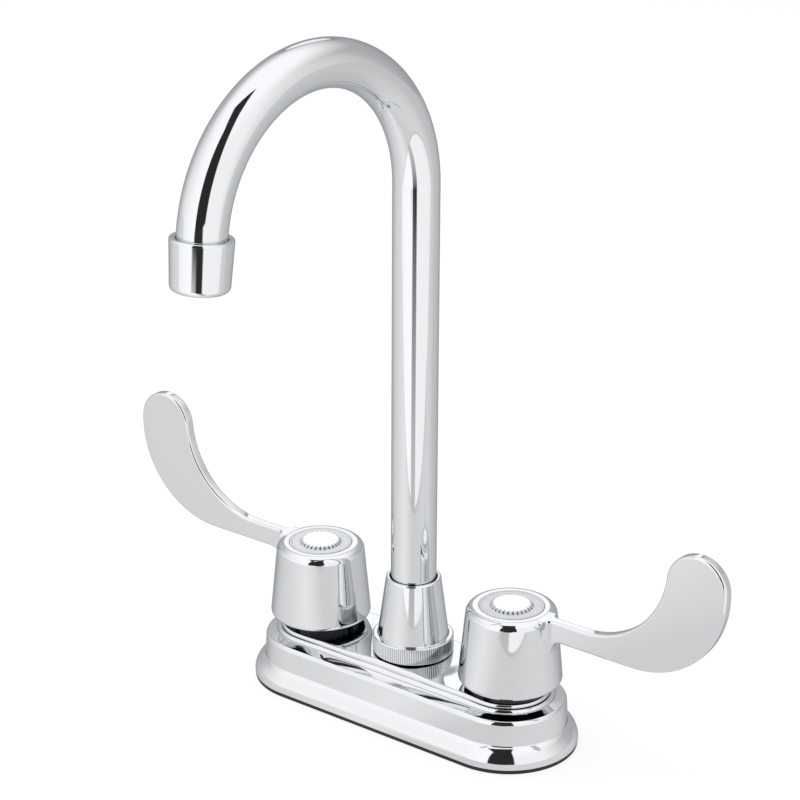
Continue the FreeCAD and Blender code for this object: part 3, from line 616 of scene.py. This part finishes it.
def makeIndexButtons():  # a raised, slightly crowned boss with flutes round its bevelled edge
    steps = button["flutes"] * button["stepsPerFlute"]
    dished = button["rimTop"] - button["dish"]
    rimInside = button["radius"] - button["rimWidth"]
    fluted = (button["bossFoot"] - button["fluteDepth"]) / button["bossFoot"]
    for name, side in sides.items():
        outline = [
            (0, button["bottom"], 0), (button["radius"], button["bottom"], 0.2),
            (button["radius"], button["rimTop"], 0.35), (rimInside, button["rimTop"], 0.2),
            (rimInside - button["rimSlope"], dished, 0.2), (button["bossFoot"], dished, 0),
            (button["bossTop"], dished + button["bossRise"], 0.3),
            (0, dished + button["bossRise"] + button["crown"], 0)]
        bm = lathe(outline, steps=steps, closed=False)
        for vert in bm.verts:  # every fourth point of the boss's foot is drawn in
            row = round(math.atan2(vert.co.y, vert.co.x) / math.tau * steps)
            offFoot = abs(math.hypot(vert.co.x, vert.co.y) / mm - button["bossFoot"])
            if offFoot < 0.05 and row % button["stepsPerFlute"] == 0:
                vert.co.x *= fluted
                vert.co.y *= fluted
        for face in bm.faces:
            middle = face.calc_center_median()
            if math.hypot(middle.x, middle.y) < button["bossTop"] * mm and middle.z > dished * mm:
                face.material_index = 1
        lens = addPiece("index_button_" + name + "_lens", moveMesh(bm, atValve(side)), acrylic,
                        name + "_handle_set", ["index_button_" + name])
        lens.data.materials.append(whiteCentre)


insert = {"bottom": 59.0, "radius": 13.3, "floor": 59.5, "plateRadius": 8.6, "plateSlope": 0.4, "plateTop": 59.85}
# dark wedges of painted shade where the grooves between the flutes lie in shade
shadeWedges = {"radius": 0.66, "taper": 0.9, "thickness": 0.12, "length": 2.0, "middle": 8.5, "height": 63.72, "tilt": 38}


def makeInsertPlate(name, side):
    outline = [
        (0, insert["bottom"], 0), (insert["radius"], insert["bottom"], 0.1), (insert["radius"], insert["floor"], 0.2),
        (insert["plateRadius"] + insert["plateSlope"], insert["floor"], 0),
        (insert["plateRadius"], insert["plateTop"], 0.1), (0, insert["plateTop"], 0)]
    bm = lathe(outline, steps=96, segments=3, closed=False)
    addPiece("index_insert_" + name + "_plate", moveMesh(bm, atValve(side)), foil,
             name + "_handle_set", ["index_insert_" + name])


def makeShadeWedges(name, side):  # thin three-sided wedges of painted shade for the flute grooves, leaning with the boss's bevel
    bm = bmesh.new()
    stretch = shadeWedges["length"] / (1.5 * shadeWedges["radius"])  # such a wedge is 1.5 radii long
    for i in range(button["flutes"]):
        wedge = bmesh.ops.create_cone(bm, cap_ends=True, segments=3, radius1=shadeWedges["radius"] * mm,
                                      radius2=shadeWedges["radius"] * shadeWedges["taper"] * mm,
                                      depth=shadeWedges["thickness"] * mm)["verts"]
        place = (Matrix.Rotation(math.tau * i / button["flutes"], 4, 'Z')
                 @ Matrix.Translation((shadeWedges["middle"] * mm, 0, shadeWedges["height"] * mm))
                 @ Matrix.Rotation(math.radians(shadeWedges["tilt"]), 4, 'Y')
                 @ Matrix.Diagonal((stretch, 1, 1, 1))
                 @ Matrix.Rotation(math.pi / 2, 4, 'Z'))
        bmesh.ops.transform(bm, matrix=place, verts=wedge)
    addPiece("index_insert_" + name + "_shade_wedges", moveMesh(bm, atValve(side)), grooveShadeMaterial,
             name + "_handle_set")


def makeIndexInserts():
    for name, side in sides.items():
        makeInsertPlate(name, side)
        makeShadeWedges(name, side)


makeIndexButtons()
makeIndexInserts()
print("index buttons ready")


# pieces that keep their CAD shape

kept = {
    "brass": (brass, ["spout_hub", "spout_fitting", "outlet_bushing"],
              ["valve_body", "inlet_shank", "cartridge_housing", "stem"]),
    "rubber": (rubber, ["spout_o_rings", "aerator_washer"], ["seat_seal", "stem_o_rings"]),
    "copper": (copper, [], ["crossover_tube"]),
    "ceramic": (ceramic, [], ["fixed_disc", "moving_disc"]),
    "steel": (steel, ["aerator_screen"], ["handle_screw", "stem_clip", "mounting_washer"]),
    "white_plastic": (acetal, ["spout_slip_washer", "aerator_insert"], []),
    # the lock ring is black so that it reads as the shade in the gap under the hub: painted shade
    "nut_plastic": (nylonAndShade, [], ["mounting_nut", "lock_ring"])}


def dressNode(nodeName, material):  # a merged, smooth-shaded copy stands for the node
    node = frame["nodes"][nodeName]
    bm = bmesh.new()
    bm.from_mesh(node.data)
    bmesh.ops.remove_doubles(bm, verts=bm.verts[:], dist=1e-6)
    addPiece(nodeName + "_finished", bm, material, node["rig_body"], [nodeName], sharpFrom=30)


for slotName, (material, singles, pairs) in kept.items():
    for nodeName in singles + [pair + "_" + name for pair in pairs for name in sides]:
        dressNode(nodeName, material)
print("CAD shapes dressed")


# camera, floor and light

shot = {"azimuth": 37.26, "elevation": 21.87, "roll": 0.27, "distance": 1034.2, "target": (4.68, -16.29, 148.24),
        "lens": 114.57, "sensor": 36}


def aimCamera():
    data = bpy.data.cameras.new("photoCamera")
    data.lens = shot["lens"]
    data.sensor_width = shot["sensor"]
    data.clip_start = 0.05
    data.clip_end = 50
    camera = bpy.data.objects.new("photoCamera", data)
    scene.collection.objects.link(camera)
    around, above = math.radians(shot["azimuth"]), math.radians(shot["elevation"])
    back = Vector((math.sin(around) * math.cos(above), -math.cos(around) * math.cos(above), math.sin(above)))
    turn = (-back).to_track_quat('-Z', 'Y').to_matrix().to_4x4() @ Matrix.Rotation(math.radians(shot["roll"]), 4, 'Z')
    camera.matrix_world = Matrix.Translation((Vector(shot["target"]) + back * shot["distance"]) * mm) @ turn
    scene.camera = camera


studio = {
    "floorSize": 12.0, "floorColour": "#ECECEC", "cameraWhite": 0.8,
    "zenith": 1.15, "zenithFrom": 0.5, "zenithFull": 0.85,
    "tableEdge": 0.222, "edgeSoft": 0.001, "edgeLine": 0.004, "edgeShade": 0.6,
    # painted camera shadow on the floor, for the metal only: its sides in degrees of bearing, then how it widens and
    # darkens with distance
    "stripLeft": 17, "stripFarLeft": 31, "stripRight": 3, "stripSoft": 2, "widensFrom": 0.65, "widensTo": 0.95,
    "dimsFrom": 0.25, "dimsTo": 0.75, "stripNear": 0.6, "stripFar": 0.03,
    # the dark slit up the front wall and over the roof: its sides are sideways over ahead, where ahead is at least
    # slitRoof times the height, and it ends where ahead is slitEnd times the height
    "slitLeft": 0.577, "slitRight": 0.194, "slitSoft": 0.015, "slitRoof": 0.6, "slitEnd": 0.17, "slitShade": 0.025,
    # the lit panel behind and its dim frame, in degrees
    "patch": 1.3, "patchHeight": 27, "patchRadius": 9, "patchSoft": 0.5, "ringRadius": 13, "ringShade": 0.45,
    # brightness that the metal sees at each bearing from the camera, on the table and on the tent's walls; on the
    # floor it is painted light and shade
    "brightest": 1.3,
    "table": {-180: 0.65, -133: 0.66, -113: 0.75, -84: 0.82, -60: 0.91, -49: 0.94, -29: 0.85, -12: 0.74, 12: 0.73,
              45: 0.78, 65: 0.78, 84: 0.71, 97: 0.63, 180: 0.64},
    "walls": {-180: 0.62, -133: 0.6, -113: 0.83, -84: 1.02, -60: 1.12, -40: 1.16, -10: 1.14, 12: 1.05, 60: 1.04,
              84: 0.84, 97: 0.71, 113: 0.54, 133: 0.5, 180: 0.62}}
towardsCamera = math.radians(shot["azimuth"] - 90)


def bearingFrom(tree, vector):  # turns a direction or place so that X points at the camera, and gives its bearing
    turned = addNode(tree, "ShaderNodeVectorRotate", {"rotation_type": 'Z_AXIS', "Angle": -towardsCamera},
                     {"Vector": vector})
    axes = addNode(tree, "ShaderNodeSeparateXYZ", links={0: turned.outputs[0]})
    return axes, calculate(tree, 'ARCTAN2', axes.outputs["Y"], axes.outputs["X"])


def shadeByBearing(tree, bearing, stops):  # bearing 0 is towards the camera, and grows to the right of the picture
    ramp = addNode(tree, "ShaderNodeValToRGB", links={"Fac": remap(tree, bearing, -math.pi, math.pi)})
    elements = ramp.color_ramp.elements
    while len(elements) < len(stops):
        elements.new(0.5)
    for element, (degrees, level) in zip(elements, stops.items()):
        element.position = (degrees + 180) / 360
        element.color = (level / studio["brightest"],) * 3 + (1,)
    return calculate(tree, 'MULTIPLY', ramp.outputs["Color"], studio["brightest"])


def between(tree, value, low, high, soft):  # 1 inside the range, 0 outside, with soft edges
    rise = remap(tree, value, low - soft, low + soft)
    fall = remap(tree, value, high + soft, high - soft)
    return calculate(tree, 'MULTIPLY', rise, fall)


def blend(tree, share, before, after):  # either side is a level or a socket
    levels, sources = partValues({"A": before, "B": after})
    return addNode(tree, "ShaderNodeMix", {"data_type": 'FLOAT', **levels}, {"Factor": share, **sources}).outputs[0]


# the painted camera shadow: a band of bearings on the floor
def paintedShadowStrip(tree, bearing, farLeft):
    return between(tree, bearing, math.radians(-farLeft), math.radians(studio["stripRight"]),
                   math.radians(studio["stripSoft"]))


def floorLevel(tree):  # painted light and shade for the metal: the table near the object, its edge, and the tent's walls and a painted camera shadow beyond
    axes, bearing = bearingFrom(tree, addNode(tree, "ShaderNodeTexCoord").outputs["Object"])
    reach = axes.outputs["X"]
    edge, soft = studio["tableEdge"], studio["edgeSoft"]
    widening = remap(tree, reach, studio["widensFrom"], studio["widensTo"])
    shadowStrip = blend(tree, widening, paintedShadowStrip(tree, bearing, studio["stripLeft"]),
                  paintedShadowStrip(tree, bearing, studio["stripFarLeft"]))
    dim = remap(tree, reach, studio["dimsFrom"], studio["dimsTo"], studio["stripNear"], studio["stripFar"])
    far = blend(tree, shadowStrip, shadeByBearing(tree, bearing, studio["walls"]), dim)
    beyond = remap(tree, reach, edge - soft, edge + soft)
    level = blend(tree, beyond, shadeByBearing(tree, bearing, studio["table"]), far)
    onEdge = between(tree, reach, edge - studio["edgeLine"], edge + studio["edgeLine"], soft)
    return blend(tree, onEdge, level, studio["edgeShade"])


def makeFloor():  # white to the eye; the metal sees painted light and shade: a table that ends in front of the object, and a painted camera shadow beyond
    bm = bmesh.new()
    bmesh.ops.create_grid(bm, x_segments=1, y_segments=1, size=studio["floorSize"] / 2)
    mesh = bpy.data.meshes.new("floor")
    bm.to_mesh(mesh)
    bm.free()
    floor = bpy.data.objects.new("floor", mesh)
    scene.collection.objects.link(floor)
    material = bpy.data.materials.new("paleFloor")
    material.use_nodes = True
    tree = material.node_tree
    tree.nodes.clear()
    level = floorLevel(tree)
    seen = addNode(tree, "ShaderNodeLightPath")
    mirrored = seen.outputs["Is Glossy Ray"]
    plain = calculate(tree, 'MAXIMUM', seen.outputs["Is Camera Ray"], seen.outputs["Is Transmission Ray"])
    share = calculate(tree, 'MAXIMUM', calculate(tree, 'MULTIPLY', plain, studio["cameraWhite"]), mirrored)
    paint = addNode(tree, "ShaderNodeBsdfDiffuse", {"Color": hexColour(studio["floorColour"])})
    white = addNode(tree, "ShaderNodeEmission", links={"Strength": blend(tree, mirrored, 1.0, level)})
    mix = addNode(tree, "ShaderNodeMixShader", links={0: share, 1: paint.outputs[0], 2: white.outputs[0]})
    addNode(tree, "ShaderNodeOutputMaterial", links={"Surface": mix.outputs[0]})
    mesh.materials.append(material)


def addPanel(tree, direction, level):  # a lit panel in a dim frame, behind the object
    height = math.radians(studio["patchHeight"])
    radius, soft = math.radians(studio["patchRadius"]), math.radians(studio["patchSoft"])
    middle = (-math.cos(height) * math.cos(towardsCamera), -math.cos(height) * math.sin(towardsCamera),
              math.sin(height))
    alignment = addNode(tree, "ShaderNodeVectorMath", {"operation": 'DOT_PRODUCT', 1: middle}, {0: direction})
    offPanel = calculate(tree, 'ARCCOSINE', alignment.outputs["Value"])
    level = blend(tree, between(tree, offPanel, radius, math.radians(studio["ringRadius"]), soft), level,
                  studio["ringShade"])
    return blend(tree, between(tree, offPanel, -1.0, radius, soft), level, studio["patch"])


def addSlit(tree, axes, level):  # the dark strip up the front wall and over the roof
    height = axes.outputs["Z"]
    ahead = calculate(tree, 'MAXIMUM', axes.outputs["X"], calculate(tree, 'MULTIPLY', height, studio["slitRoof"]))
    sideways = calculate(tree, 'DIVIDE', axes.outputs["Y"], ahead)
    slit = between(tree, sideways, -studio["slitLeft"], studio["slitRight"], studio["slitSoft"])
    end = calculate(tree, 'MULTIPLY', height, studio["slitEnd"])
    inFront = calculate(tree, 'GREATER_THAN', axes.outputs["X"], end)
    return blend(tree, calculate(tree, 'MULTIPLY', slit, inFront), level, studio["slitShade"])


def lightWorld():  # a white tent; the metal also sees its dimmer corners, the slit and the panel
    world = bpy.data.worlds.new("whiteTent")
    scene.world = world
    world.use_nodes = True
    tree = world.node_tree
    tree.nodes.clear()
    direction = addNode(tree, "ShaderNodeTexCoord").outputs["Generated"]
    axes, bearing = bearingFrom(tree, direction)
    rise = remap(tree, axes.outputs["Z"], studio["zenithFrom"], studio["zenithFull"])
    level = blend(tree, rise, shadeByBearing(tree, bearing, studio["walls"]), studio["zenith"])
    level = addSlit(tree, axes, addPanel(tree, direction, level))
    seen = addNode(tree, "ShaderNodeLightPath")
    strength = blend(tree, seen.outputs["Is Glossy Ray"], 1.0, level)
    background = addNode(tree, "ShaderNodeBackground", {"Color": hexColour("#FFFFFF")}, {"Strength": strength})
    addNode(tree, "ShaderNodeOutputWorld", links={"Surface": background.outputs[0]})


lamps = {
    "topBox": {"place": (-0.3, -0.2, 1.6), "size": (1.4, 1.0), "power": 10},
    "leftBox": {"place": (-1.5, -0.6, 0.9), "size": (0.9, 1.2), "power": 6}}


def hangLamps():
    for name, lamp in lamps.items():
        data = bpy.data.lights.new(name, 'AREA')
        data.shape = 'RECTANGLE'
        data.size, data.size_y = lamp["size"]
        data.energy = lamp["power"]
        light = bpy.data.objects.new(name, data)
        light.location = lamp["place"]
        light.rotation_euler = (-Vector(lamp["place"])).to_track_quat('-Z', 'Y').to_euler()
        light.visible_glossy = False
        scene.collection.objects.link(light)


aimCamera()
makeFloor()
lightWorld()
hangLamps()
scene.view_settings.view_transform = 'Standard'
print("camera, floor and light ready")
